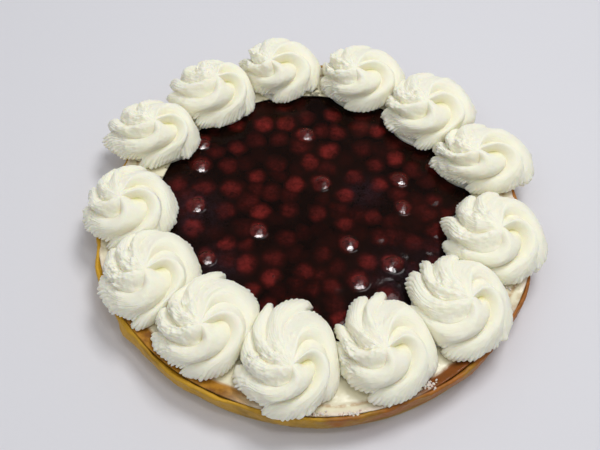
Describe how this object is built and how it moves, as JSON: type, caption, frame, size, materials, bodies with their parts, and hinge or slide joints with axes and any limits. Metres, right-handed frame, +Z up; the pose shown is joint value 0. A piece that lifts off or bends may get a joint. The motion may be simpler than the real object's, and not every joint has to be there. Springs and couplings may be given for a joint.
{
  "type": "cherry flan",
  "caption": "Round shallow cherry flan with a baked crust, a pale custard edge, cherries set in dark jelly, and a ring of piped whipped cream rosettes.",
  "frame": {"origin": "centre of the crust's flat underside, at the level of the surface it stands on", "axes": "+Z up, +X to the right and -Y towards the viewer of the picture"},
  "size_m": [0.29, 0.2906, 0.0509],
  "materials": {
    "crust": "golden brown baked pastry, dull with a faint sheen",
    "custard": "pale cream-beige custard with a moist sheen",
    "cherry": "dark red cherries in near-black glossy jelly",
    "cream": "ivory whipped cream, soft satin"
  },
  "bodies": {
    "root": {"crust": "crust", "custard_layer": "custard", "cherry_filling": "cherry", "rosette_01": "cream", "rosette_02": "cream", "rosette_03": "cream", "rosette_04": "cream", "rosette_05": "cream", "rosette_06": "cream", "rosette_07": "cream", "rosette_08": "cream", "rosette_09": "cream", "rosette_10": "cream", "rosette_11": "cream", "rosette_12": "cream", "rosette_13": "cream"}
  },
  "joints": []
}
